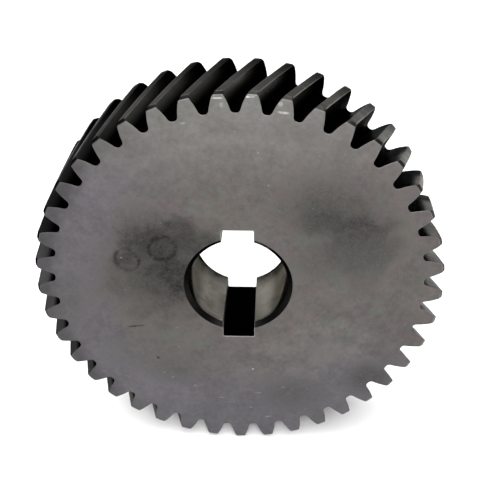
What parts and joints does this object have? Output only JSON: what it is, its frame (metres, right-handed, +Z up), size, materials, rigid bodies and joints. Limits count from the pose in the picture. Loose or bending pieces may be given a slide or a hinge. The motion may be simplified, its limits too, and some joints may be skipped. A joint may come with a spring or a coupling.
{
  "type": "helical gear",
  "caption": "Solid right-hand helical gear with full-depth involute teeth, bevelled tooth ends, a bevelled plain bore and two opposite through keyways.",
  "frame": {"origin": "on the bore axis, halfway through the face width", "axes": "Y along the bore axis, -Y out of the front face; Z through the middle of both keyways, +Z up as the gear stands on its rim; X to the right seen from the front"},
  "size_m": [0.1024, 0.0234, 0.1024],
  "materials": {
    "gear_steel": "satin, bare machined steel"
  },
  "bodies": {
    "root": {"helical_gear": "gear_steel"}
  },
  "joints": []
}
